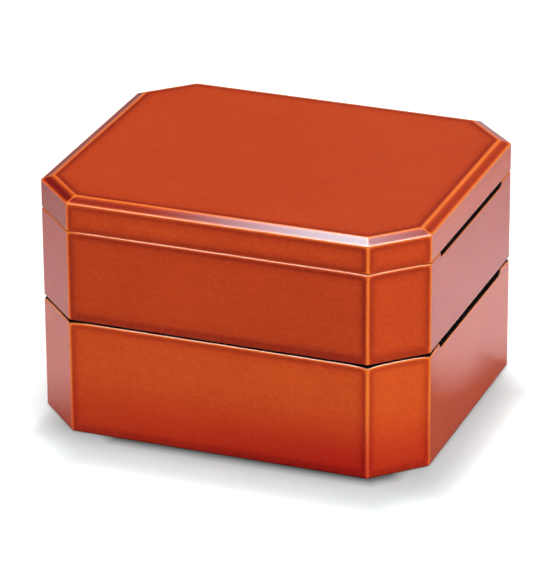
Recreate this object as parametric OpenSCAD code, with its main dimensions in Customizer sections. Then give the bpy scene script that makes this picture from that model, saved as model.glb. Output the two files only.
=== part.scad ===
// Stacking lacquer box on an eight-sided plan: two tiers and a lid that lies flush with them.
// Each wall is a ring of eight mitred boards. A tier's rim carries a standing lip, and the piece
// above has a rebate along its lower inside edge that drops over it.
// Millimetres, +Z up, front at -Y, with the origin on the table under the middle of the box.

/* [Plan] */
// Width of the box from left to right
box_w = 205; // [150:1:300]
// Depth of the box from front to back
box_d = 173; // [130:1:260]
// How far each corner is cut back along both of its sides
corner_cut = 24; // [16:0.5:40]

/* [Heights] */
// Outside height of the lower tier, up to its ledge
lower_h = 60.7; // [40:0.1:120]
// Outside height of the upper tier, up to its ledge
upper_h = 48; // [40:0.1:120]
// Upright side of the lid, up to its bevel
lid_side_h = 14.7; // [12:0.1:25]
// Height that the bevel climbs to the flat top
bevel_rise = 2.3; // [0.8:0.1:6]
// Distance that the bevel runs in from the side
bevel_run = 5.8; // [4:0.1:12]

/* [Boards] */
// Thickness of the wall boards
board_t = 7; // [5.5:0.1:10]
// Thickness of the bottom boards
floor_t = 4.5; // [3:0.1:8]
// Thickness of the lid's top board where it lies on the strips
cap_edge_t = 3.2; // [2:0.1:6]
// Depth that the top board reaches down inside the strips
cap_spigot_h = 2; // [1:0.1:2.5]

/* [Lip and rebate] */
// Height of the standing lip above the ledge
lip_h = 4.2; // [3:0.1:5]
// Thickness of the lip
lip_t = 2.8; // [2:0.1:3.5]
// Play between the lip and the piece that drops over it
lip_play = 0.35; // [0.15:0.05:0.6]
// Gap above the lip inside the lid, which rests on the ledge
lid_lip_gap = 0.5; // [0.2:0.1:1]
// Open joint between the tiers, because the upper one rests on the lip
tier_seam = 0.7; // [0.2:0.1:1.2]

/* [Finger notches] */
// Plain ledge left between a notch and the corner on each side
notch_margin = 14.5; // [8:0.5:30]
// Depth of a notch below the ledge
notch_depth = 2.6; // [1.5:0.1:4]
// Radius of a notch's lower corners
notch_end_r = 2.2; // [0.8:0.1:3]

/* [Rounding] */
// Radius of the upright corners
arris_r = 1.5; // [0.6:0.1:2.4]
// Radius of the ledge's outer edge
rim_r = 1; // [0.4:0.1:1.5]
// Radius of the lower edge of the upper tier and of the lid
seam_r = 0.9; // [0.4:0.1:1.5]
// Radius of the edge that stands on the table
foot_r = 1.6; // [0.4:0.1:1.8]
// Radius where the lid's side turns into its bevel
shoulder_r = 0.9; // [0.3:0.1:1.5]
// Radius where the bevel meets the flat top
ridge_r = 1.6; // [0.5:0.1:4]
// Radius on the lip's two upper edges
lip_r = 0.7; // [0.2:0.1:0.9]
// Radius on hidden inside edges and along the notches
small_r = 0.5; // [0.2:0.1:0.8]

/* [Mitre joints] */
// Thickness of the loose splines
spline_t = 1.8; // [1.2:0.1:2]
// Width of a spline across the joint
spline_w = 6; // [4:0.1:7]
// Wood kept between a spline and the outer face
spline_cover = 2.2; // [1.8:0.1:2.4]
// Wood kept above and below a spline
spline_end = 4; // [2:0.5:8]
// Glue line between pieces that are joined for good
glue_line = 0.05; // [0.02:0.01:0.1]

/* [Hidden] */
$fn = 64;

amber = "#B8411F";
black = "#1A1210";
bare_wood = "#C9A877";

// How far a cut runs past the face that it opens
past = 1;
// Mitre angle at each corner, which turns by 45 degrees
mitre_a = 22.5;
// Flats that stand for each rounded corner of the top board
arc_steps = 5;
// Lengths of a flat that the bevel cut runs on by, past each end of its rounded corners
run_on = 2;

flat_w = box_w - 2 * corner_cut;
flat_d = box_d - 2 * corner_cut;
flat_cut = corner_cut * sqrt(2);

ledge_w = board_t - lip_t;
skirt_t = ledge_w - lip_play;
recess_h = lip_h - tier_seam;
floor_top = recess_h + floor_t;
shoulder_z = floor_top + glue_line;

upper_z = lower_h + tier_seam;
lid_z = upper_z + upper_h;
strip_h = lid_side_h - cap_edge_t;
lid_h = lid_side_h + bevel_rise;
lid_rebate_h = lip_h + lid_lip_gap;
cap_z = lid_z + strip_h + glue_line;
cap_h = lid_h - strip_h - glue_line;
bevel_a = atan2(bevel_rise, bevel_run);

notch_end = min(notch_end_r, notch_depth);
spline_u = spline_cover + spline_w / 2 * sin(mitre_a) + spline_t / 2 * cos(mitre_a);
spline_z = shoulder_z + spline_end;

// The eight walls, anticlockwise from above: name, middle of the outer face, turn about Z, length
cut_x = (box_w - corner_cut) / 2;
cut_y = (box_d - corner_cut) / 2;
WALLS = [
    ["front", [0, -box_d / 2], 0, flat_w],
    ["front_right", [cut_x, -cut_y], 45, flat_cut],
    ["right", [box_w / 2, 0], 90, flat_d],
    ["back_right", [cut_x, cut_y], 135, flat_cut],
    ["back", [0, box_d / 2], 180, flat_w],
    ["back_left", [-cut_x, cut_y], 225, flat_cut],
    ["left", [-box_w / 2, 0], 270, flat_d],
    ["front_left", [-cut_x, -cut_y], 315, flat_cut],
];

function side(wall) = wall[0];
function middle(wall) = wall[1];
function turn(wall) = wall[2];
function length(wall) = wall[3];
function along(wall) = [cos(turn(wall)), sin(turn(wall))];
function inward(wall) = [-sin(turn(wall)), cos(turn(wall))];
function is_notched(wall) = side(wall) == "left" || side(wall) == "right";

function lower_board_name(wall) = str("lower_", side(wall), "_board");
function upper_board_name(wall) = str("upper_", side(wall), "_board");
function lid_strip_name(wall) = str("lid_", side(wall), "_strip");

// Points on an arc, with both ends
function arc(centre, r, from_a, to_a, steps) =
    [for (i = [0:steps]) let (a = from_a + (to_a - from_a) * i / steps) centre + r * [cos(a), sin(a)]];

// Centre of the round that touches both edges of a corner: to_a and to_b point along the edges
function round_centre(corner, to_a, to_b, r) =
    let (inward = to_a / norm(to_a) + to_b / norm(to_b), half = half_angle(to_a, to_b))
    corner + inward / norm(inward) * r / sin(half);
function half_angle(to_a, to_b) = acos(to_a * to_b / norm(to_a) / norm(to_b)) / 2;

// The plan of the box, drawn in from the outer faces by an equal distance all round
module plan(inset) {
    x = box_w / 2 - inset;
    y = box_d / 2 - inset;
    cut = corner_cut - inset * (2 - sqrt(2));
    polygon([
        [x - cut, -y], [x, cut - y], [x, y - cut], [x - cut, y],
        [cut - x, y], [-x, y - cut], [-x, cut - y], [cut - x, -y],
    ]);
}

// The full plan with its eight corners turned
module round_plan() {
    tangent = arris_r * tan(mitre_a);
    polygon([for (wall = WALLS) each
        arc(
            middle(wall) + along(wall) * (length(wall) / 2 - tangent) + inward(wall) * arris_r,
            arris_r, turn(wall) - 90, turn(wall) - 90 + 2 * mitre_a, arc_steps
        )
    ]);
}

// What rounding takes off a square corner of a section: to_a and to_b point along its two edges
module round_off(corner, to_a, to_b, r) {
    centre = corner + r * (to_a + to_b);
    difference() {
        polygon([corner - past * (to_a + to_b), corner + r * to_a, centre, corner + r * to_b]);
        translate(centre) circle(r);
    }
}

// Sections lie with X inward from the outer face and Y up from the lower edge

// Section of a tier's wall, with the rebate below and the lip above
module tier_section(height, lower_r) {
    lip_top = height + lip_h;
    difference() {
        union() {
            square([board_t, height]);
            translate([ledge_w, 0]) square([lip_t, lip_top]);
        }
        translate([skirt_t, -past]) square([board_t, shoulder_z + past]);
        round_off([0, 0], [1, 0], [0, 1], lower_r);
        round_off([skirt_t, 0], [-1, 0], [0, 1], small_r);
        round_off([0, height], [1, 0], [0, -1], rim_r);
        round_off([ledge_w, lip_top], [1, 0], [0, -1], lip_r);
        round_off([board_t, lip_top], [-1, 0], [0, -1], lip_r);
    }
}

// Section of a lid strip, with the rebate that drops over the lip
module strip_section() {
    difference() {
        square([board_t, strip_h]);
        translate([skirt_t, -past]) square([board_t, lid_rebate_h + past]);
        round_off([0, 0], [1, 0], [0, 1], seam_r);
        round_off([skirt_t, 0], [-1, 0], [0, 1], small_r);
    }
}

// What the bevel and its two rounded corners take off the edge of the top board
module bevel_section() {
    edge = cap_h - bevel_rise;
    bevel = [bevel_run, bevel_rise];
    shoulder = round_centre([0, edge], [0, -1], bevel, shoulder_r);
    ridge = round_centre([bevel_run, cap_h], -bevel, [1, 0], ridge_r);
    surface = concat(
        arc(shoulder, shoulder_r, 180, 90 + bevel_a, arc_steps),
        arc(ridge, ridge_r, 90 + bevel_a, 90, arc_steps)
    );
    // The cut runs on past the side and the top, in line with its first and last flat
    last = len(surface) - 1;
    start = surface[0] + run_on * (surface[0] - surface[1]);
    end = surface[last] + run_on * (surface[last] - surface[last - 1]);
    polygon(concat([[-past, cap_h + past], [-past, start.y], start], surface, [end, [end.x, cap_h + past]]));
}

// Moves a board that lies along X, with its outer face at Y 0, to its place in the ring
module place(wall, z) {
    translate([middle(wall).x, middle(wall).y, z]) rotate(turn(wall)) children();
}

// Lays a board's section along X between mitred ends, half a glue line short of each mitre, and
// turns its outer arris half way round the corner
module mitred(long, high) {
    half_l = long / 2 - glue_line / 2 / cos(mitre_a);
    straight = half_l - arris_r * tan(mitre_a);
    inner = half_l - (board_t + past) * tan(mitre_a);
    intersection() {
        rotate([90, 0, 90]) linear_extrude(long, center = true) children();
        translate([0, 0, -past]) linear_extrude(high + 2 * past) polygon([
            [-straight, -past], [straight, -past], [straight, arris_r],
            [inner, board_t + past], [-inner, board_t + past], [-straight, arris_r],
        ]);
    }
    for (end = [0, 1]) mirror([end, 0, 0]) translate([straight, arris_r, 0]) rotate(-90)
        rotate_extrude(angle = mitre_a) intersection() {
            translate([arris_r, 0]) mirror([1, 0]) children();
            square([arris_r, high]);
        }
}

// A spline or the slot for it, standing across the mitre at the right-hand end of a board
module spline(long, high, clearance) {
    translate([long / 2 - spline_u * tan(mitre_a), spline_u, spline_z - clearance]) rotate(mitre_a)
        translate([-spline_w / 2 - clearance, -spline_t / 2 - clearance, 0])
            cube([spline_w + 2 * clearance, spline_t + 2 * clearance, high + 2 * clearance]);
}

function spline_h(height) = height - spline_end - spline_z;

// Outline of a notch, seen from outside with the ledge at Y 0
module notch_outline(half_l) {
    difference() {
        translate([-half_l, -notch_depth]) square([2 * half_l, notch_depth + past]);
        for (x = [-1, 1]) round_off([x * half_l, -notch_depth], [-x, 0], [0, 1], notch_end);
    }
}

// What rounding takes off a notch's outer edge: X runs into the wood and Y inward from the face
module notch_edge() {
    difference() {
        translate([-small_r, -past]) square([2 * small_r, small_r + past]);
        translate([small_r, small_r]) circle(small_r);
    }
}

// A finger notch through the ledge in front of the lip, with its outer edge eased all along
module notch(long, height) {
    half_l = long / 2 - notch_margin;
    bend_x = half_l - notch_end;
    translate([0, ledge_w, height]) rotate([90, 0, 0]) linear_extrude(ledge_w + past)
        notch_outline(half_l);
    translate([0, 0, height - notch_depth]) {
        rotate([0, 90, 0]) linear_extrude(2 * bend_x, center = true) notch_edge();
        for (end = [0, 1]) mirror([end, 0, 0]) translate([bend_x, 0, notch_end]) {
            rotate([-90, 0, 0]) rotate_extrude(angle = 90) translate([notch_end, 0]) notch_edge();
            translate([notch_end, 0, 0]) linear_extrude(notch_depth - notch_end + past) notch_edge();
        }
    }
}

// One board of a tier's wall
module tier_board(wall, height, lower_r) {
    long = length(wall);
    color(amber) difference() {
        mitred(long, height + lip_h) tier_section(height, lower_r);
        for (end = [0, 1]) mirror([end, 0, 0]) spline(long, spline_h(height), glue_line);
        if (is_notched(wall)) notch(long, height);
    }
}

// The bottom board of a tier, let into the rebate against its shoulder
module bottom_board(z) {
    color(black) translate([0, 0, z + recess_h]) linear_extrude(floor_t) plan(skirt_t + glue_line);
}

// The eight splines that lock a tier's mitres
module splines(z, height) {
    color(bare_wood) for (wall = WALLS) place(wall, z) spline(length(wall), spline_h(height), 0);
}

// One strip of the lid's rim
module lid_strip(wall) {
    color(amber) mitred(length(wall), strip_h) strip_section();
}

// The lid's top board: a flat field inside a mitred bevel, with a spigot that fits in the strips
module lid_top_board() {
    color(amber) translate([0, 0, cap_z]) {
        difference() {
            linear_extrude(cap_h) round_plan();
            for (wall = WALLS) place(wall, 0) rotate([90, 0, 90])
                linear_extrude(length(wall) + 2 * corner_cut, center = true) bevel_section();
        }
        translate([0, 0, -cap_spigot_h]) linear_extrude(cap_spigot_h + past) plan(board_t + glue_line);
    }
}

for (wall = WALLS) {
    place(wall, 0) tier_board(wall, lower_h, foot_r);
    place(wall, upper_z) tier_board(wall, upper_h, seam_r);
    place(wall, lid_z) lid_strip(wall);
}
bottom_board(0);  // lower_bottom_board
splines(0, lower_h);  // lower_splines
bottom_board(upper_z);  // upper_bottom_board
splines(upper_z, upper_h);  // upper_splines
lid_top_board();
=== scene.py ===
import math
from functools import partial
import bpy
from mathutils import Matrix, Vector


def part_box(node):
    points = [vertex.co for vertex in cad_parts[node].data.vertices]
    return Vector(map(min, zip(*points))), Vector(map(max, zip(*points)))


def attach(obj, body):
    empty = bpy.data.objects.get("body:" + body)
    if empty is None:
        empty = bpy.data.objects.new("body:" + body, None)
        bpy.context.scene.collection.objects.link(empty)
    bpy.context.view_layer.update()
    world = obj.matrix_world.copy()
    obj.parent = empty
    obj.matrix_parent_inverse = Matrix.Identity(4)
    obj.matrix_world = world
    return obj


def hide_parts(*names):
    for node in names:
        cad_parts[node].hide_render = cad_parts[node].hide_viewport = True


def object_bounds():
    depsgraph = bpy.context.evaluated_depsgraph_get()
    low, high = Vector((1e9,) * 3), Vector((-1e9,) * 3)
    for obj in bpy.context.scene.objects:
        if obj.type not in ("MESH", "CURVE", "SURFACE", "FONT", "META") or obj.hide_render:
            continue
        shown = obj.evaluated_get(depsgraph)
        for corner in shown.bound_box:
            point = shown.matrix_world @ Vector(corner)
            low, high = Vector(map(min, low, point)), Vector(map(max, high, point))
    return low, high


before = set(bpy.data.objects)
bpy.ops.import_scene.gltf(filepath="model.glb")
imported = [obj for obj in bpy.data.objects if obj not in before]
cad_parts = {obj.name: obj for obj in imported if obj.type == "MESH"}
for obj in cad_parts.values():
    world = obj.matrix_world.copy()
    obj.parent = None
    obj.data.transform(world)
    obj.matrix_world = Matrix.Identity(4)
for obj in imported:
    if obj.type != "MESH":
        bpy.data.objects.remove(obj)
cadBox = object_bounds()
scene = bpy.context.scene

mm = 0.001
mitreAngle = math.radians(22.5)      # each corner turns by twice this
wallNames = ["front", "front_right", "right", "back_right", "back", "back_left", "left", "front_left"]
notchedWalls = ["right", "left"]
halfWidth = cadBox[1][0] / mm
halfDepth = cadBox[1][1] / mm
cornerCut = round(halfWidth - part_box("lower_front_board")[1].x / mm)


def feed(tree, socket, value):
    if isinstance(value, bpy.types.NodeSocket):
        tree.links.new(value, socket)
    else:
        socket.default_value = value


def addNode(tree, kind, settings=None, **inputs):
    node = tree.nodes.new(kind)
    for name, value in (settings or {}).items():
        setattr(node, name, value)
    for name, value in inputs.items():
        feed(tree, node.inputs[name.replace("_", " ")], value)
    return node


def maths(tree, operation, *values):
    node = addNode(tree, "ShaderNodeMath", {"operation": operation})
    for socket, value in zip(node.inputs, values):
        feed(tree, socket, value)
    return node.outputs[0]


# The walls of both tiers and the lid, in millimetres
walls = {
    "thickness": 7.0,
    "ledgeWidth": 4.2,
    "skirtThickness": 3.85,
    "lipHeight": 4.2,
    "lipEdgeRadius": 0.7,
    "arrisRadius": 1.5,
    "innerTurn": 0.6,         # corner radius of the lip and of the rebate
    "insideTurn": 2.5,        # corner radius inside, where lacquer and filler gather
    "hiddenRadius": 0.5,
    "rimRadius": 0.85,
    "rimAmber": 0.25,         # how far the amber coat runs in over the ledge before the black
    "blackStart": 0.1,        # from there to the first black row
    "coveRadius": 2.0,        # fillet between the walls and the floor
    "floorMargin": 2.5,       # flat ring of the floor next to the cove
    "cornerDipReach": 4.5,    # how far from a corner the rubbed rim sinks
    "dipFade": 10.5,          # how far down a wall the rows still follow the rim
    "roundFade": 1.6,         # how far down a wall they follow the rounded end of a notch
    "mitreFade": 13.0,        # how far from a corner the columns lean with the mitre
}
# Distances of rows and columns from the nearest edge, closest where the coat changes most
spacing = {
    "face": [0.5, 1.1, 1.8, 2.7, 4.0, 6.0, 9.0, 13.0],
    "faceMiddle": 0.5,        # rows stay this far from the middle of a face
    "field": [0.5, 1.1, 1.8, 2.7, 4.0, 6.0, 9.0],
    "corner": [0, 0.5, 1.1, 1.8, 2.7, 4.0, 6.0, 8.5, 11.0],
}
arcSteps = {"arris": 4, "edge": 6, "hidden": 3, "notch": 5}       # how finely each round is divided
# The coat thins on upper edges. On lower ones, which face down, it stays deep and dark as painted
# shade, less so on the lid's. For each kind: the least distance from it that the coat may show, and
# what comes off the true distance.
edgeKinds = {"upper": (0, 0), "lower": (2.0, 1.0), "hem": (0.85, -0.7)}


# A section runs from the middle underneath, up the outside and down to the middle of the floor.
# Each row has its inset from the outer face, its height and its corner radius, turn. Rows with black
# have the black lacquer, and those with slot only in a notch. Those with hub are drawn in to the
# middle, and those with flat show no mitres. Pool deepens the coat, and gathers lets it gather fully
# beside edges. Share says how far the row sinks with the rim, hold how far it follows the round end of
# a notch, and below how far under the rim's top it lies.
class Section:
    def __init__(self):
        self.rows = []
        self.path = []       # distance walked along the section, for each row
        self.edges = []      # where on that walk the visible edges are, and their kind

    def add(self, inset, height, **more):
        row = {"inset": inset, "height": height, "black": 0, "slot": 0, "hub": 0, "flat": 0, "pool": 0,
               "gathers": 0, "below": 0, "share": 0, "hold": 0,
               "turn": max(walls["arrisRadius"] - inset, walls["innerTurn"])}
        row.update(more)
        last = self.rows[-1] if self.rows else row
        step = math.hypot(inset - last["inset"], height - last["height"])
        self.path.append(self.path[-1] + step if self.path else 0)
        self.rows.append(row)

    def arc(self, centre, radius, start, end, steps, edge=None, **more):
        for i in range(steps + 1):
            angle = math.radians(start + (end - start) * i / steps)
            self.add(centre[0] + radius * math.cos(angle), centre[1] + radius * math.sin(angle), **more)
            if edge and 2 * i == steps:
                self.edges.append((self.path[-1], edge))

    # How far each row lies from the nearest visible edge, as the coat shows it
    def edgeGaps(self):
        gaps = []
        for here in self.path:
            gaps.append(min(max(edgeKinds[kind][0], abs(here - at) - edgeKinds[kind][1])
                            for at, kind in self.edges))
        return gaps


# Rows up an outer face. Where the rim sinks they follow it, less with the distance.
def addFace(section, low, high, sinks):
    gaps = [gap for gap in spacing["face"] if gap < (high - low) / 2 - spacing["faceMiddle"]]
    for gap in gaps:
        section.add(0, low + gap)
    for gap in reversed(gaps):
        follows = {}
        if sinks:
            follows["share"] = max(0, min(1, 1 - (gap - gaps[0]) / walls["dipFade"]))
            follows["hold"] = max(0, 1 - gap / walls["roundFade"])
            follows["below"] = walls["rimRadius"]
        section.add(0, high - gap, **follows)


# The skirt that drops over a lip: rebate wall, lower edge and the amber edge outside
def addSkirt(section, ceiling, low, shape, edge):
    skirt = walls["skirtThickness"]
    hidden = walls["hiddenRadius"]
    edgeRadius = shape["edgeRadius"]
    section.arc((skirt + hidden, ceiling - hidden), hidden, 90, 180, arcSteps["hidden"], black=1)
    section.arc((skirt - hidden, low + hidden), hidden, 0, -90, arcSteps["hidden"], black=1)
    section.add(edgeRadius + walls["rimAmber"], low, black=1)
    section.arc((edgeRadius, low + edgeRadius), edgeRadius, 270, 180, arcSteps["edge"], edge=edge)
    # The first rows of this edge, from underneath, may be black: painted shade in the joint
    for row in section.rows[-arcSteps["edge"] - 1:][:shape["jointShadeBlackSteps"]]:
        row["black"] = 1


def tierSection(low, ledge, underside, floorTop, shape):
    section = Section()
    steps = arcSteps["edge"]
    ledgeWidth, hidden, lipRadius = walls["ledgeWidth"], walls["hiddenRadius"], walls["lipEdgeRadius"]
    rim, cove, inside = walls["rimRadius"], walls["coveRadius"], walls["insideTurn"]
    lipTop = ledge + walls["lipHeight"]
    underRing = walls["thickness"] + walls["floorMargin"]
    section.add(underRing, underside, black=1, hub=1)
    section.add(underRing, underside, black=1)
    addSkirt(section, underside, low, shape, "lower")
    addFace(section, low + shape["edgeRadius"], ledge - rim, True)
    # The top rows of the rim may be black: painted shade in the joint above it
    for i in range(steps + 1):
        angle = math.radians(180 - 90 * i / steps)
        sunk = rim * (1 - math.sin(angle))
        section.add(rim + rim * math.cos(angle), ledge - sunk, share=1, hold=1, below=sunk,
                    slot=i > steps / 2, black=i > steps - shape["rimJointShadeSteps"])
        if 2 * i == steps:
            section.edges.append((section.path[-1], "upper"))
    amberEnd = rim + walls["rimAmber"]
    section.add(amberEnd, ledge, share=1, hold=1, slot=1, black=shape["rimJointShadeSteps"] > 0)
    section.add(amberEnd + walls["blackStart"], ledge, share=1, hold=1, black=1)
    section.arc((ledgeWidth - hidden, ledge + hidden), hidden, 270, 360, arcSteps["hidden"], share=1,
                hold=1, black=1)
    section.add(ledgeWidth, ledge + 2 * hidden, black=1)
    section.arc((ledgeWidth + lipRadius, lipTop - lipRadius), lipRadius, 180, 90, steps, black=1)
    section.arc((walls["thickness"] - lipRadius, lipTop - lipRadius), lipRadius, 90, 0, steps, black=1,
                turn=inside)
    coveCentre = (walls["thickness"] + cove, floorTop + cove)
    section.arc(coveCentre, cove, 180, 270, steps, black=1, turn=inside)
    section.add(coveCentre[0] + walls["floorMargin"], floorTop, black=1, turn=inside)
    section.add(coveCentre[0] + walls["floorMargin"], floorTop, black=1, hub=1)
    return section


# The lid, in millimetres
lid = {
    "bevelRun": 5.8,
    "bevelRise": 2.3,
    # Rows up the bevel: share of the way, and how much deeper or thinner the coat lies there
    "bevelRows": [(0.15, 0.0), (0.3, 0.02), (0.4, 0.1), (0.5, 0.13), (0.6, 0.03), (0.7, -0.12),
                  (0.8, -0.2), (0.9, -0.1)],
    "fieldPool": 0.036,       # the same for the flat field
    "coat": -0.04,            # how much deeper it lies all over
    "cornerDip": 0,
    "rebateHeight": 4.7,
    "edgeRadius": 0.9,        # of the lower outer edge
    # Black rows of the lower edge paint shade in a joint; the lid has none
    "jointShadeBlackSteps": 0,          # rows of that edge that are black, from underneath
    "shoulderRadius": 0.65,
    "ridgeRadius": 1.2,
}


def lidSection(low, top, ceiling):
    section = Section()
    steps = arcSteps["edge"]
    hidden, inner = walls["hiddenRadius"], walls["thickness"]
    shoulderRadius, ridgeRadius = lid["shoulderRadius"], lid["ridgeRadius"]
    rebate = low + lid["rebateHeight"]
    slope = math.atan2(lid["bevelRise"], lid["bevelRun"])
    square = 90 + math.degrees(slope)      # direction square to the bevel
    section.add(inner + walls["floorMargin"], ceiling, black=1, hub=1)
    section.add(inner + walls["floorMargin"], ceiling, black=1)
    section.arc((inner + hidden, ceiling - hidden), hidden, 90, 180, arcSteps["hidden"], black=1)
    section.arc((inner - hidden, rebate + hidden), hidden, 0, -90, arcSteps["hidden"], black=1)
    addSkirt(section, rebate, low, lid, "hem")
    # Tangent lengths of the two rounds where the side, the bevel and the field meet
    shoulderBack = shoulderRadius * math.tan((math.pi / 2 - slope) / 2)
    ridgeBack = ridgeRadius * math.tan(slope / 2)
    shoulder = top - lid["bevelRise"] - shoulderBack
    addFace(section, low + lid["edgeRadius"], shoulder, False)
    section.arc((shoulderRadius, shoulder), shoulderRadius, 180, square, steps, edge="upper")
    bevelStart = section.rows[-1]
    ridgeCentre = (lid["bevelRun"] + ridgeBack, top - ridgeRadius)
    bevelEnd = (ridgeCentre[0] - ridgeRadius * math.sin(slope),
                ridgeCentre[1] + ridgeRadius * math.cos(slope))
    for share, pool in lid["bevelRows"]:
        section.add(bevelStart["inset"] + (bevelEnd[0] - bevelStart["inset"]) * share,
                    bevelStart["height"] + (bevelEnd[1] - bevelStart["height"]) * share,
                    pool=pool, gathers=1)
    section.arc(ridgeCentre, ridgeRadius, square, 90, steps, edge="upper")
    for i, row in enumerate(section.rows[-steps:]):
        row.update(flat=(i + 1) / steps, gathers=1)
    for gap in spacing["field"]:
        section.add(ridgeCentre[0] + gap, top, flat=1, gathers=1, pool=lid["fieldPool"])
    section.add(ridgeCentre[0] + gap, top, hub=1, flat=1, gathers=1, pool=lid["fieldPool"])
    return section


# The finger notches, in millimetres
notch = {
    "margin": 14.5,           # from the corner
    "depth": 2.6,
    "topRadius": 1.05,
    "spread": 4.0,            # from its end to the next column
    "amberSteps": 3,          # columns at its end that keep the amber coat
}


# Columns down the end of a notch, round its top and into its bottom: (run, sink, lean, stand)
def notchEnd():
    top = notch["topRadius"]
    bottom = notch["depth"] - top
    steps = arcSteps["notch"]
    outline = []
    for i in range(steps + 1):
        angle = math.radians(90 - 90 * i / steps)
        lean, stand = math.cos(angle), math.sin(angle)
        outline.append((top * (lean - 1), top * (1 - stand), lean, stand))
    for i in range(1, steps + 1):
        angle = math.radians(90 * i / steps)
        lean, stand = math.cos(angle), math.sin(angle)
        outline.append((bottom * (1 - lean), notch["depth"] - bottom * (1 - stand), lean, stand))
    return outline


# Columns across one half of a wall, from the middle of its corner to the middle of its face. Each has
# its run along the wall from the round of the corner, and its swing, the angle round that. Sink is how
# far the rim lies lower there, and shift, lean and stand round off the end of a notch. Follow says how
# far the column leans with the mitre, and slotted that it is black in the notch.
def halfColumns(isNotched, halfFace, cornerDip):
    arris = walls["arrisRadius"]
    tangent = arris * math.tan(mitreAngle)
    columns = []

    def add(run, swing=0, shift=0, lean=0, stand=1, sink=None, slotted=0):
        dip = cornerDip * math.exp(-run / walls["cornerDipReach"])
        columns.append({
            "run": run, "swing": swing, "shift": shift, "lean": lean, "stand": stand,
            "sink": dip if sink is None else sink,
            "follow": max(0, 1 - run / walls["mitreFade"]),
            "arrisGap": arris * (mitreAngle - swing) + run,
            "slotted": slotted,
        })

    for i in range(arcSteps["arris"]):
        add(0, swing=mitreAngle * (1 - i / arcSteps["arris"]))
    for run in spacing["corner"]:
        add(run)
    if isNotched:
        outline = notchEnd()
        start = notch["margin"] - tangent
        for i, (run, sink, lean, stand) in enumerate(outline):
            even = outline[0][0] + (outline[-1][0] - outline[0][0]) * i / (len(outline) - 1)
            add(start + even, shift=run - even, lean=lean, stand=stand, sink=sink,
                slotted=i > notch["amberSteps"])
        for run in (start + notch["spread"], start + 3 * notch["spread"], halfFace - tangent):
            add(run, sink=notch["depth"], slotted=1)
    else:
        add(halfFace - tangent, sink=0)
    return columns


# Each wall from its first end to its last, as the names run: how much the coat gathers beside the
# edges, how red the foot is, and how much lighter or darker it is on the tiers and on the lid: painted
# light and shade, set wall by wall for how the light falls on each
wallCoats = {
    "front": ((0.75, 1.0), (0.6, 1.0), 0, 0),
    "front_right": ((0.75, 0.75), (0.75, 0.7), -0.07, -0.03),
    "right": ((0.1, 0.1), (0.15, 0.1), -0.04, -0.1),
    "back_right": ((0.5, 0.5), (0.4, 0.6), -0.02, -0.04),
    "back": ((0.9, 0.9), (0.7, 0.9), 0, 0),
    "back_left": ((0.6, 0.6), (0.6, 0.4), 0, 0),
    "left": ((0.3, 0.3), (0.2, 0.2), 0, 0),
    "front_left": ((0.1, 0.1), (0.15, 0.2), 0, 0.19),
}


# Columns of the whole plan; only the tiers have notches
def planColumns(isTier, cornerDip):
    halfFaces = {"front": halfWidth - cornerCut, "back": halfWidth - cornerCut,
                 "right": halfDepth - cornerCut, "left": halfDepth - cornerCut}
    columns = []
    for number, name in enumerate(wallNames):
        halfFace = halfFaces.get(name, cornerCut / math.sqrt(2))
        half = halfColumns(isTier and name in notchedWalls, halfFace, cornerDip)
        both = [{**column, "wall": number, "end": -1} for column in half]
        both += [{**column, "wall": number, "end": 1} for column in reversed(half[1:-1])]
        gather, foot, tierPaintedShade, lidPaintedShade = wallCoats[name]
        for column in both:
            across = 0.5 * column["run"] / half[-1]["run"]
            across = across if column["end"] < 0 else 1 - across
            column.update(gather=gather[0] + (gather[1] - gather[0]) * across,
                          foot=foot[0] + (foot[1] - foot[0]) * across,
                          wallCoat=tierPaintedShade if isTier else lidPaintedShade)
        columns += both
    return columns


# Loose points that carry one attribute for each value of the rows or columns
def pointList(name, rows):
    mesh = bpy.data.meshes.new(name)
    mesh.vertices.add(len(rows))
    for key in rows[0]:
        attribute = mesh.attributes.new(key, "FLOAT", "POINT")
        attribute.data.foreach_set("value", [float(row[key]) for row in rows])
    points = bpy.data.objects.new(name, mesh)
    scene.collection.objects.link(points)
    return points


def sampled(tree, geometry, index, name):
    attribute = addNode(tree, "GeometryNodeInputNamedAttribute", {"data_type": "FLOAT"}, Name=name)
    sample = addNode(tree, "GeometryNodeSampleIndex", Geometry=geometry, Index=index,
                     Value=attribute.outputs["Attribute"])
    return sample.outputs["Value"]


def wholeMaths(tree, operation, first, second):
    node = addNode(tree, "FunctionNodeIntegerMath", {"operation": operation})
    feed(tree, node.inputs[0], first)
    feed(tree, node.inputs[1], second)
    return node.outputs[0]


sweepSettings = {
    "mergeWithin": 0.001,     # millimetres
    "blackFrom": 0.25,        # faces are black from this average of their corners
    "faceWeight": 50,         # how much large faces count in the shading
}


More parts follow.
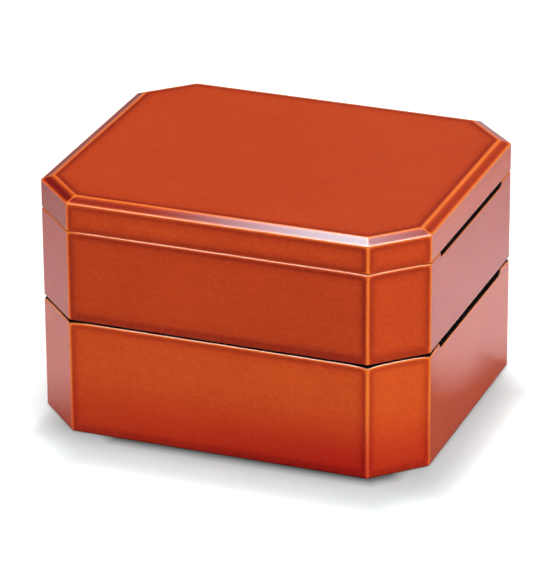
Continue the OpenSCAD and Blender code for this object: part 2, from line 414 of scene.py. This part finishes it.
# Sweeps a section round the eight walls: a grid with a row for each point of the section and a
# column for each point of the plan, mitred at the corners and turned there by each row's radius
def buildSweep():
    tree = bpy.data.node_groups.new("wall sweep", "GeometryNodeTree")
    sockets = {"Section": "Object", "Plan": "Object", "Half Width": "Float", "Half Depth": "Float",
               "Corner Cut": "Float", "Coat": "Float", "Outer Lacquer": "Material",
               "Inner Lacquer": "Material"}
    for name, kind in sockets.items():
        tree.interface.new_socket(name, in_out="INPUT", socket_type="NodeSocket" + kind)
    tree.interface.new_socket("Mesh", in_out="OUTPUT", socket_type="NodeSocketGeometry")
    given = tree.nodes.new("NodeGroupInput").outputs
    section = addNode(tree, "GeometryNodeObjectInfo", Object=given["Section"]).outputs["Geometry"]
    plan = addNode(tree, "GeometryNodeObjectInfo", Object=given["Plan"]).outputs["Geometry"]
    rowCount = addNode(tree, "GeometryNodeAttributeDomainSize", Geometry=section).outputs["Point Count"]
    columnCount = addNode(tree, "GeometryNodeAttributeDomainSize", Geometry=plan).outputs["Point Count"]
    grid = addNode(tree, "GeometryNodeMeshGrid", Vertices_Y=rowCount,
                   Vertices_X=wholeMaths(tree, "ADD", columnCount, 1)).outputs["Mesh"]
    index = tree.nodes.new("GeometryNodeInputIndex").outputs[0]
    rowIndex = wholeMaths(tree, "MODULO", index, rowCount)
    columnIndex = wholeMaths(tree, "MODULO", wholeMaths(tree, "DIVIDE", index, rowCount), columnCount)
    rowKeys = ("inset", "height", "turn", "below", "share", "hold", "hub", "flat", "pool", "gathers",
               "black", "slot", "edgeGap")
    row = {key: sampled(tree, section, rowIndex, key) for key in rowKeys}
    columnKeys = ("wall", "end", "run", "swing", "shift", "lean", "stand", "sink", "follow", "arrisGap",
                  "slotted", "gather", "foot", "wallCoat")
    column = {key: sampled(tree, plan, columnIndex, key) for key in columnKeys}
    m = partial(maths, tree)

    # Frame of the wall: its direction, the middle of its outer face and half its length
    angle = m("MULTIPLY", column["wall"], 2 * mitreAngle)
    alongX = m("COSINE", angle)
    alongY = m("SINE", angle)
    sideX = m("ROUND", alongY)
    sideY = m("ROUND", m("MULTIPLY", alongX, -1))
    isCut = m("MODULO", column["wall"], 2)
    halfCut = m("MULTIPLY", m("MULTIPLY", isCut, given["Corner Cut"]), 0.5)
    middleX = m("MULTIPLY", sideX, m("SUBTRACT", given["Half Width"], halfCut))
    middleY = m("MULTIPLY", sideY, m("SUBTRACT", given["Half Depth"], halfCut))
    crossing = m("ADD", m("MULTIPLY", m("ABSOLUTE", sideX), given["Half Depth"]),
                 m("MULTIPLY", m("ABSOLUTE", sideY), given["Half Width"]))
    straightHalf = m("MULTIPLY", m("SUBTRACT", 1, isCut), m("SUBTRACT", crossing, given["Corner Cut"]))
    cutHalf = m("MULTIPLY", m("MULTIPLY", isCut, given["Corner Cut"]), math.sqrt(0.5))
    halfFace = m("ADD", straightHalf, cutHalf)

    # How far along the wall: corners follow the mitre inwards, the notches stay where they are
    backed = m("ADD", row["inset"], row["turn"])
    mitred = m("MULTIPLY", m("MULTIPLY", column["follow"], backed), math.tan(mitreAngle))
    fixed = m("MULTIPLY", m("SUBTRACT", 1, column["follow"]),
              walls["arrisRadius"] * math.tan(mitreAngle))
    reach = m("SUBTRACT", m("SUBTRACT", halfFace, m("ADD", mitred, fixed)), column["run"])
    reach = m("ADD", reach, m("MULTIPLY", row["turn"], m("SINE", column["swing"])))
    notchShift = m("SUBTRACT", m("MULTIPLY", column["lean"], row["below"]), column["shift"])
    reach = m("ADD", reach, m("MULTIPLY", notchShift, row["hold"]))
    along = m("MULTIPLY", reach, column["end"])
    rounded = m("MULTIPLY", row["turn"], m("SUBTRACT", 1, m("COSINE", column["swing"])))
    depth = m("ADD", row["inset"], rounded)
    lifted = m("MULTIPLY", m("MULTIPLY", m("SUBTRACT", 1, column["stand"]), row["below"]), row["hold"])
    height = m("ADD", m("SUBTRACT", row["height"], m("MULTIPLY", column["sink"], row["share"])), lifted)
    ring = m("MULTIPLY", m("SUBTRACT", 1, row["hub"]), mm)
    x = m("SUBTRACT", m("ADD", middleX, m("MULTIPLY", along, alongX)), m("MULTIPLY", depth, alongY))
    y = m("ADD", m("ADD", middleY, m("MULTIPLY", along, alongY)), m("MULTIPLY", depth, alongX))
    place = addNode(tree, "ShaderNodeCombineXYZ", X=m("MULTIPLY", x, ring), Y=m("MULTIPLY", y, ring),
                    Z=m("MULTIPLY", height, mm))

    # The mitres show as edges round the walls and the bevel, and not where the lid lies flat
    arrisGap = m("ADD", column["arrisGap"], m("MULTIPLY", row["flat"], amber["gapSpan"]))
    black = m("MAXIMUM", row["black"], m("MULTIPLY", row["slot"], column["slotted"]))
    gather = m("MAXIMUM", row["gathers"], column["gather"])
    # The piece's coat, plus the painted light and shade of each wall except on the flat field
    coat = m("ADD", given["Coat"], m("MULTIPLY", column["wallCoat"], m("SUBTRACT", 1, row["flat"])))
    stored = {"edgeGap": row["edgeGap"], "arrisGap": arrisGap, "black": black, "pool": row["pool"],
              "gather": gather, "foot": column["foot"], "coat": coat}
    mesh = grid
    for key, value in stored.items():
        mesh = addNode(tree, "GeometryNodeStoreNamedAttribute", {"data_type": "FLOAT"},
                       Geometry=mesh, Name=key, Value=value).outputs[0]
    mesh = addNode(tree, "GeometryNodeSetPosition", Geometry=mesh, Position=place.outputs[0]).outputs[0]
    mesh = addNode(tree, "GeometryNodeMergeByDistance", Geometry=mesh,
                   Distance=sweepSettings["mergeWithin"] * mm).outputs[0]
    mesh = addNode(tree, "GeometryNodeSetShadeSmooth", Geometry=mesh, Shade_Smooth=True).outputs[0]
    mesh = addNode(tree, "GeometryNodeRealizeInstances", Geometry=mesh).outputs[0]
    blackness = addNode(tree, "GeometryNodeInputNamedAttribute", {"data_type": "FLOAT"}, Name="black")
    isBlack = m("GREATER_THAN", blackness.outputs["Attribute"], sweepSettings["blackFrom"])
    mesh = addNode(tree, "GeometryNodeSetMaterial", Geometry=mesh,
                   Material=given["Outer Lacquer"]).outputs[0]
    mesh = addNode(tree, "GeometryNodeSetMaterial", Geometry=mesh, Selection=isBlack,
                   Material=given["Inner Lacquer"]).outputs[0]
    output = tree.nodes.new("NodeGroupOutput")
    tree.links.new(mesh, output.inputs[0])
    return tree


# Runs the sweep for one piece and keeps what it makes as a plain mesh
def sweepPiece(tree, name, section, columns, coat, outerLacquer, innerLacquer):
    for row, gap in zip(section.rows, section.edgeGaps()):
        row["edgeGap"] = gap
    sectionPoints = pointList(name + " section", section.rows)
    planPoints = pointList(name + " plan", columns)
    piece = bpy.data.objects.new(name, bpy.data.meshes.new(name + " seed"))
    scene.collection.objects.link(piece)
    modifier = piece.modifiers.new("wall sweep", "NODES")
    modifier.node_group = tree
    values = {"Section": sectionPoints, "Plan": planPoints, "Half Width": halfWidth,
              "Half Depth": halfDepth, "Corner Cut": cornerCut, "Coat": coat,
              "Outer Lacquer": outerLacquer, "Inner Lacquer": innerLacquer}
    for item in tree.interface.items_tree:
        if item.name in values:
            modifier[item.identifier] = values[item.name]
    shading = piece.modifiers.new("even shading", "WEIGHTED_NORMAL")
    shading.weight = sweepSettings["faceWeight"]
    bpy.context.view_layer.update()
    graph = bpy.context.evaluated_depsgraph_get()
    made = bpy.data.meshes.new_from_object(piece.evaluated_get(graph), preserve_all_data_layers=True,
                                           depsgraph=graph)
    piece.modifiers.clear()
    piece.data = made
    made.name = name
    bpy.data.objects.remove(sectionPoints)
    bpy.data.objects.remove(planPoints)
    print(name, "has", len(made.polygons), "faces")
    return piece


def ramp(tree, factor, stops, interpolation="LINEAR"):
    node = addNode(tree, "ShaderNodeValToRGB", Fac=factor)
    node.color_ramp.interpolation = interpolation
    elements = node.color_ramp.elements
    while len(elements) < len(stops):
        elements.new(1)
    for element, (position, colour) in zip(elements, stops):
        element.position = position
        element.color = (*colour, 1) if isinstance(colour, tuple) else (colour, colour, colour, 1)
    return node.outputs["Color"]


# Inputs 6 and 7 of a Mix node are its two colours, and output 2 is their mix
def mixColours(tree, factor, first, second, blend="MIX"):
    node = addNode(tree, "ShaderNodeMix", {"data_type": "RGBA", "blend_type": blend}, Factor=factor)
    feed(tree, node.inputs[6], first)
    feed(tree, node.inputs[7], second)
    return node.outputs[2]


# 0 at the first value, 1 at the last and smooth between them
def smoothStep(tree, value, first, last):
    return addNode(tree, "ShaderNodeMapRange", {"interpolation_type": "SMOOTHSTEP"}, Value=value,
                   From_Min=first, From_Max=last).outputs[0]


def newMaterial(name):
    material = bpy.data.materials.new(name)
    material.use_nodes = True
    tree = material.node_tree
    shader = tree.nodes["Principled BSDF"]
    coordinates = tree.nodes.new("ShaderNodeTexCoord").outputs["Object"]
    return material, tree, shader, coordinates


def noise(tree, coordinates, scale, detail, stretch=(1, 1, 1), roughness=0.5):
    mapped = addNode(tree, "ShaderNodeMapping", Vector=coordinates, Scale=stretch).outputs[0]
    return addNode(tree, "ShaderNodeTexNoise", Vector=mapped, Scale=scale, Detail=detail,
                   Roughness=roughness).outputs["Fac"]


# A value that the sweep stored on the mesh
def carried(tree, name):
    return addNode(tree, "ShaderNodeAttribute", {"attribute_name": name}).outputs["Fac"]


# What both lacquers have: an uneven rub and a faint ripple under and on the clear coat
def addSurface(tree, shader, coordinates, look):
    rubbed = addNode(tree, "ShaderNodeMapRange", Value=noise(tree, coordinates, *look["rubNoise"]),
                     To_Min=look["roughness"][0], To_Max=look["roughness"][1])
    tree.links.new(rubbed.outputs[0], shader.inputs["Roughness"])
    bump = addNode(tree, "ShaderNodeBump", Strength=look["ripple"], Distance=mm,
                   Height=noise(tree, coordinates, *look["rippleNoise"]))
    tree.links.new(bump.outputs[0], shader.inputs["Normal"])
    tree.links.new(bump.outputs[0], shader.inputs["Coat Normal"])
    shader.inputs["Specular IOR Level"].default_value = look["specular"]
    shader.inputs["Coat Weight"].default_value = look["coatWeight"]
    shader.inputs["Coat Roughness"].default_value = look["coatRoughness"]
    shader.inputs["Coat IOR"].default_value = look["coatIor"]


# Amber lacquer over a red ground. It thins to orange on every edge, gathers dark beside it and
# evens out over the faces; on lower edges the orange is held back as painted shade. Each noise is
# (scale, detail) and, for the brush, (scale, detail, stretch).
amber = {
    "gapSpan": 10.0,             # millimetres covered by the edge curve
    "edgeCurve": [(0, 0.0), (0.038, 0.04), (0.075, 0.3), (0.115, 0.68), (0.18, 0.86), (0.27, 0.74),
                  (0.4, 0.56), (0.7, 0.5)],
    "cornerBlend": 2.5,
    "depths": [(0, (0.62, 0.150, 0.025)), (0.25, (0.53, 0.078, 0.0145)), (0.5, (0.40, 0.0445, 0.011)),
               (0.75, (0.265, 0.025, 0.009)), (1, (0.16, 0.008, 0.0065))],
    "footTint": (0.76, 0.25, 0.6),
    "footHeight": (0.006, 0.042),      # metres: wholly tinted below the first, clear above the second
    "mottle": 0.12,
    "mottleNoise": (26, 3),
    "brush": 0.08,
    "brushNoise": (1, 2, (9, 9, 420)),
    "grain": 0.22,
    "grainNoise": (700, 1),
    "roughness": (0.30, 0.40),
    "rubNoise": (60, 4),
    "specular": 0.005,
    "coatWeight": 1,
    "coatRoughness": 0.025,
    "coatIor": 1.5,
    "ripple": 0.012,
    "rippleNoise": (45, 1),
}


def amberLacquer():
    material, tree, shader, coordinates = newMaterial("amberLacquer")
    m = partial(maths, tree)

    # Noise lies round 0.5
    def uneven(kind):
        drift = m("SUBTRACT", noise(tree, coordinates, *amber[kind + "Noise"]), 0.5)
        return m("MULTIPLY", drift, amber[kind])

    gap = m("SMOOTH_MIN", carried(tree, "edgeGap"), carried(tree, "arrisGap"), amber["cornerBlend"])
    curve = ramp(tree, m("DIVIDE", gap, amber["gapSpan"]), amber["edgeCurve"], "B_SPLINE")
    even = amber["edgeCurve"][-1][1]
    kept = m("SUBTRACT", 1, carried(tree, "gather"))
    gathered = m("SUBTRACT", curve, m("MULTIPLY", kept, m("MAXIMUM", m("SUBTRACT", curve, even), 0)))
    depth = m("ADD", m("ADD", gathered, carried(tree, "pool")), carried(tree, "coat"))
    depth = m("ADD", depth, m("ADD", uneven("mottle"), m("ADD", uneven("brush"), uneven("grain"))))
    height = addNode(tree, "ShaderNodeSeparateXYZ", Vector=coordinates).outputs["Z"]
    low = smoothStep(tree, height, amber["footHeight"][1], amber["footHeight"][0])
    colour = mixColours(tree, m("MULTIPLY", low, carried(tree, "foot")),
                        ramp(tree, depth, amber["depths"]), (*amber["footTint"], 1), "MULTIPLY")
    tree.links.new(colour, shader.inputs["Base Color"])
    addSurface(tree, shader, coordinates, amber)
    return material


# Black lacquer inside and on the hidden faces of the joints, rubbed a little dull
blackCoat = {
    "cloudNoise": (30, 4),
    "cloud": [(0.35, (0.004, 0.0035, 0.0035)), (0.75, (0.014, 0.011, 0.010))],     # deep and rubbed
    "roughness": (0.22, 0.34),
    "rubNoise": (90, 3),
    "specular": 0.25,
    "coatWeight": 0.6,
    "coatRoughness": 0.05,
    "coatIor": 1.5,
    "ripple": 0.012,
    "rippleNoise": (50, 2),
}


def blackLacquer():
    material, tree, shader, coordinates = newMaterial("blackLacquer")
    cloudy = noise(tree, coordinates, *blackCoat["cloudNoise"])
    tree.links.new(ramp(tree, cloudy, blackCoat["cloud"]), shader.inputs["Base Color"])
    addSurface(tree, shader, coordinates, blackCoat)
    return material


# Bare cypress of the loose splines, with its grain upright
bareWood = {
    "ringNoise": (1, 3, (900, 900, 22), 0.6),      # scale, detail, stretch and roughness
    "rings": [(0.35, (0.62, 0.42, 0.24)), (0.65, (0.42, 0.24, 0.11))],      # early and late wood
    "roughness": 0.7,
    "relief": 0.2,
    "reliefDepth": 0.0002,
}


def plainWood():
    material, tree, shader, coordinates = newMaterial("bareWood")
    rings = noise(tree, coordinates, *bareWood["ringNoise"])
    tree.links.new(ramp(tree, rings, bareWood["rings"]), shader.inputs["Base Color"])
    shader.inputs["Roughness"].default_value = bareWood["roughness"]
    bump = addNode(tree, "ShaderNodeBump", Strength=bareWood["relief"], Distance=bareWood["reliefDepth"],
                   Height=rings)
    tree.links.new(bump.outputs[0], shader.inputs["Normal"])
    return material


def pieceNames(first, last):
    return [f"{first}_{wall}_{last}" for wall in wallNames]


# What sets the tiers apart, in millimetres: the radius of the lower outer edge, the rows of that edge
# and of the rim that are black, painted shade in the joint between the tiers, how far the rubbed rim
# sinks at the corners, and how much deeper the coat lies
lowerTier = {"edgeRadius": 1.6, "jointShadeBlackSteps": 0, "rimJointShadeSteps": 2, "cornerDip": 0.9, "coat": -0.12}
upperTier = {"edgeRadius": 0.9, "jointShadeBlackSteps": 3, "rimJointShadeSteps": 0, "cornerDip": 0.4, "coat": 0.03}


# A tier takes its heights from its own boards in the frame
def buildTier(sweep, side, body, shape, lacquers):
    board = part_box(f"{side}_front_board")
    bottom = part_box(f"{side}_bottom_board")
    low = board[0].z / mm
    ledge = board[1].z / mm - walls["lipHeight"]
    section = tierSection(low, ledge, bottom[0].z / mm, bottom[1].z / mm, shape)
    plan = planColumns(True, shape["cornerDip"])
    tier = sweepPiece(sweep, f"{side}_tier_shell", section, plan, shape["coat"], *lacquers)
    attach(tier, body)
    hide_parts(*pieceNames(side, "board"), f"{side}_bottom_board")


def buildLid(sweep, lacquers):
    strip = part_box("lid_front_strip")
    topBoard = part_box("lid_top_board")
    section = lidSection(strip[0].z / mm, topBoard[1].z / mm, topBoard[0].z / mm)
    plan = planColumns(False, lid["cornerDip"])
    shell = sweepPiece(sweep, "lid_shell", section, plan, lid["coat"], *lacquers)
    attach(shell, "lid")
    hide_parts(*pieceNames("lid", "strip"), "lid_top_board")


# The loose splines keep their CAD meshes
def finishSplines():
    wood = plainWood()
    for name in ("lower_splines", "upper_splines"):
        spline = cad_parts[name]
        spline.data.materials.clear()
        spline.data.materials.append(wood)


# Pale floor, in metres. What the camera sees carries a painted shadow towards the foot of the box,
# further out on the side away from the light, tinted against the red light the box throws on it. What
# the lacquer mirrors is a painted reflection, darker: a painted black flag lies before the box and
# another behind its left end, a painted shade lies beside its right wall with a painted glow before it,
# and only the far floor is bright.
floorLook = {
    "size": 14.0,
    "bright": 0.7,
    "seen": [(0.0, 0.18), (0.002, 0.28), (0.004, 0.43), (0.006, 0.6), (0.018, 0.58), (0.024, 0.62),
             (0.028, 0.68), (0.032, 0.75), (0.036, 0.86), (0.04, 1.0)],
    "seenTint": (0.92, 1.0, 1.0),
    "shadeShift": (0.013, -0.028),
    "mirroredTint": (0.62, 0.64, 0.70),
    # Painted shadow at the foot of the box and painted fall-off away from the middle, as the lacquer
    # mirrors it
    "beside": [(0.0, 0.5), (0.004, 0.9), (0.010, 1.0)],       # from the box
    "beyond": [(0.22, 1.0), (0.27, 0.9), (0.31, 0.82), (0.34, 0.74), (0.38, 0.62),
               (0.45, 0.3)],                                  # from the middle
    "farFrom": (1.0, 1.5),
    "farBright": 1.6,
    "paintedFlagAngle": 25.6,
    "paintedFlagAhead": (-0.065, 0.01),            # black to clear
    "paintedBackFlag": [(-0.12, -0.02), (0.20, 0.10)],        # black to clear, across and backwards
    "rightShade": [(0.1, 1.0), (0.1026, 0.25), (0.109, 0.28), (0.116, 0.6), (0.124, 1.0)],     # across
    "rightShadeBack": (0.055, 0.08),        # it ends backwards between these
    "rightPaintedGlow": 0.2,
    "glowAcross": (0.1, 0.104),
    "glowBack": (-0.07, -0.05),
}


def buildFloor():
    mesh = bpy.data.meshes.new("floor")
    reach = floorLook["size"] / 2
    corners = [(-reach, -reach, 0), (reach, -reach, 0), (reach, reach, 0), (-reach, reach, 0)]
    mesh.from_pydata(corners, [], [(0, 1, 2, 3)])
    floor = bpy.data.objects.new("floor", mesh)
    scene.collection.objects.link(floor)
    material = bpy.data.materials.new("paleFloor")
    material.use_nodes = True
    tree = material.node_tree
    tree.nodes.clear()
    m = partial(maths, tree)
    path = tree.nodes.new("ShaderNodeLightPath")
    coordinates = tree.nodes.new("ShaderNodeTexCoord").outputs["Object"]
    place = addNode(tree, "ShaderNodeSeparateXYZ", Vector=coordinates)
    x, y = place.outputs["X"], place.outputs["Y"]

    # Distance outwards from a box that stands shifted from the real one
    def outwards(shiftX, shiftY):
        acrossX = m("ABSOLUTE", m("SUBTRACT", x, shiftX))
        acrossY = m("ABSOLUTE", m("SUBTRACT", y, shiftY))
        cornerLine = (halfWidth + halfDepth - cornerCut) * mm
        besideCut = m("MULTIPLY", m("SUBTRACT", m("ADD", acrossX, acrossY), cornerLine), math.sqrt(0.5))
        besideFaces = m("MAXIMUM", m("SUBTRACT", acrossX, halfWidth * mm),
                        m("SUBTRACT", acrossY, halfDepth * mm))
        return m("MAXIMUM", besideCut, besideFaces)

    # Painted reflection: the painted flags, then the painted shade at the right with the painted glow
    # before it, then the far floor painted bright
    turned = math.radians(floorLook["paintedFlagAngle"])
    depth = m("SUBTRACT", m("MULTIPLY", y, math.cos(turned)), m("MULTIPLY", x, math.sin(turned)))
    paintedFlagShade = smoothStep(tree, depth, *floorLook["paintedFlagAhead"])
    pastLeft, pastBack = (smoothStep(tree, *pair) for pair in zip((x, y), *zip(*floorLook["paintedBackFlag"])))
    paintedFlagShade = m("MULTIPLY", paintedFlagShade, m("MAXIMUM", pastLeft, pastBack))
    fromMiddle = m("SQRT", m("ADD", m("POWER", x, 2), m("POWER", y, 2)))
    # Painted shadow at the foot of the box and painted fall-off away from the middle
    mirrored = m("MULTIPLY", ramp(tree, outwards(0, 0), floorLook["beside"]),
                 m("MULTIPLY", ramp(tree, fromMiddle, floorLook["beyond"]), paintedFlagShade))
    paintedGlow = m("MULTIPLY", smoothStep(tree, x, *floorLook["glowAcross"]),
                smoothStep(tree, y, *floorLook["glowBack"]))
    # Painted shade beside the right wall, with a painted glow before it
    rightShade = m("MAXIMUM", ramp(tree, x, floorLook["rightShade"]),
                   smoothStep(tree, y, *floorLook["rightShadeBack"]))
    mirrored = m("MAXIMUM", m("MULTIPLY", mirrored, rightShade),
                 m("MULTIPLY", paintedGlow, floorLook["rightPaintedGlow"]))
    mirrored = m("MAXIMUM", mirrored, m("MULTIPLY", smoothStep(tree, fromMiddle, *floorLook["farFrom"]),
                                        floorLook["farBright"]))
    # Painted shadow round the foot of the box, as the camera sees the floor
    shiftX, shiftY = floorLook["shadeShift"]
    seen = ramp(tree, m("SUBTRACT", outwards(shiftX, shiftY), shiftY), floorLook["seen"])

    shade = (*[floorLook["bright"]] * 3, 1)
    for isRay, value, tint in (("Is Glossy Ray", mirrored, floorLook["mirroredTint"]),
                               ("Is Camera Ray", seen, floorLook["seenTint"])):
        toned = addNode(tree, "ShaderNodeVectorMath", {"operation": "SCALE"}, Scale=value)
        feed(tree, toned.inputs[0], tint)
        shade = mixColours(tree, path.outputs[isRay], shade, toned.outputs[0])
    diffuse = addNode(tree, "ShaderNodeBsdfDiffuse", Color=shade)
    output = tree.nodes.new("ShaderNodeOutputMaterial")
    tree.links.new(diffuse.outputs[0], output.inputs[0])
    mesh.materials.append(material)


# Surroundings that the lacquer mirrors, by height above the horizon, and the even light they give
surroundings = {
    "bands": [(0.0, 0.25), (0.12, 0.14), (0.24, 0.005), (0.62, 0.005), (1.0, 0.1)],
    "ambient": 0.44,
}


def buildWorld():
    world = bpy.data.worlds.new("studio")
    scene.world = world
    world.use_nodes = True
    tree = world.node_tree
    background = tree.nodes["Background"]
    background.inputs["Color"].default_value = (1, 1, 1, 1)
    path = tree.nodes.new("ShaderNodeLightPath")
    direction = tree.nodes.new("ShaderNodeTexCoord").outputs["Generated"]
    height = addNode(tree, "ShaderNodeSeparateXYZ", Vector=direction).outputs["Z"]
    # Inputs 2 and 3 of a Mix node are its two numbers
    mirrored = addNode(tree, "ShaderNodeMix", Factor=path.outputs["Is Glossy Ray"])
    feed(tree, mirrored.inputs[2], surroundings["ambient"])
    feed(tree, mirrored.inputs[3], ramp(tree, height, surroundings["bands"]))
    strength = maths(tree, "MAXIMUM", path.outputs["Is Camera Ray"], mirrored.outputs[0])
    tree.links.new(strength, background.inputs["Strength"])


# Lamps: place and size in metres, power in watts. The softbox and the panels are only mirrored, and
# the others only light.
lamps = {
    "softbox": {"place": (0.14, 0.05, 1.15), "size": (1.22, 1.10), "power": 68, "isMirrored": True,
                "tint": (0.55, 0.85, 1.0)},
    "frontPanel": {"place": (-0.38, -0.75, 1.1), "size": (0.5, 0.8), "power": 27, "isMirrored": True},
    "rightPanel": {"place": (0.85, -0.15, 1.1), "size": (0.6, 0.6), "power": 24, "isMirrored": True},
    "overhead": {"place": (-0.03, 0.0, 1.15), "size": (0.14, 0.56), "power": 6.5, "isMirrored": False},
    "frontFill": {"place": (0.42, -1.6, 0.75), "size": (1.2, 1.0), "power": 16.3, "isMirrored": False},
    "rightFill": {"place": (1.6, -0.3, 0.8), "size": (1.0, 1.0), "power": 13, "isMirrored": False},
    "leftFill": {"place": (-1.6, -0.2, 0.8), "size": (1.0, 1.0), "power": 5.9, "isMirrored": False},
    "backFill": {"place": (0.0, 1.7, 0.8), "size": (1.2, 1.0), "power": 20, "isMirrored": False},
}
lampAim = Vector((0, 0, 0.06))
feathers = {"X": (0.18, 0.1), "Y": (0.1, 0.155)}      # faded shares: left and right, near and far


def buildLamps():
    for name, look in lamps.items():
        light = bpy.data.lights.new(name, "AREA")
        light.shape = "RECTANGLE"
        light.size, light.size_y = look["size"]
        light.energy = look["power"]
        light.color = look.get("tint", (1, 1, 1))
        lamp = bpy.data.objects.new(name, light)
        lamp.location = look["place"]
        lamp.visible_camera = False
        lamp.visible_glossy = look["isMirrored"]
        lamp.visible_diffuse = not look["isMirrored"]
        scene.collection.objects.link(lamp)
        if look["isMirrored"]:
            featherLamp(light)
        else:
            lamp.rotation_euler = (lampAim - lamp.location).to_track_quat("-Z", "Y").to_euler()


# Fades a mirrored lamp towards its sides, as a softbox does
def featherLamp(light):
    light.use_nodes = True
    tree = light.node_tree
    across = tree.nodes.new("ShaderNodeNewGeometry").outputs["Parametric"]
    split = addNode(tree, "ShaderNodeSeparateXYZ", Vector=across)
    strength = 1
    for axis, (first, last) in feathers.items():
        here = split.outputs[axis]
        for distance, feather in ((here, first), (maths(tree, "SUBTRACT", 1, here), last)):
            strength = maths(tree, "MULTIPLY", strength, smoothStep(tree, distance, 0, feather))
    tree.links.new(strength, tree.nodes["Emission"].inputs["Strength"])


# The photograph's view, measured from the box: metres, degrees, and millimetres for the sensor
view = {
    "azimuth": 20.832,
    "elevation": 24.002,
    "roll": -0.2894,
    "distance": 2.0773,
    "aim": (0, 0, 0.0615),
    "shiftRight": 0.000278,
    "shiftUp": -0.006616,
    "focalPixels": 4093.96,
    "framePixels": 577,
    "sensorWidth": 36,
    "clipEnd": 100,
}


def buildCamera():
    azimuth, elevation, roll = (math.radians(view[key]) for key in ("azimuth", "elevation", "roll"))
    back = Vector((math.sin(azimuth) * math.cos(elevation), -math.cos(azimuth) * math.cos(elevation),
                   math.sin(elevation)))
    right = Vector((math.cos(azimuth), math.sin(azimuth), 0))
    up = back.cross(right)
    rolledRight = right * math.cos(roll) + up * math.sin(roll)
    rolledUp = up * math.cos(roll) - right * math.sin(roll)
    target = Vector(view["aim"]) + rolledRight * view["shiftRight"] + rolledUp * view["shiftUp"]
    data = bpy.data.cameras.new("camera")
    data.sensor_width = view["sensorWidth"]
    data.lens = view["sensorWidth"] * view["focalPixels"] / view["framePixels"]
    data.clip_end = view["clipEnd"]
    camera = bpy.data.objects.new("camera", data)
    placed = Matrix((rolledRight, rolledUp, back)).transposed().to_4x4()
    placed.translation = target + back * view["distance"]
    camera.matrix_world = placed
    scene.collection.objects.link(camera)
    scene.camera = camera


buildCamera()
print("camera placed")
lacquers = (amberLacquer(), blackLacquer())
sweep = buildSweep()
buildTier(sweep, "lower", "lower_tier", lowerTier, lacquers)
buildTier(sweep, "upper", "upper_tier", upperTier, lacquers)
buildLid(sweep, lacquers)
finishSplines()
print("box built")
buildFloor()
buildWorld()
buildLamps()
scene.view_settings.view_transform = "Standard"
print("stage set")
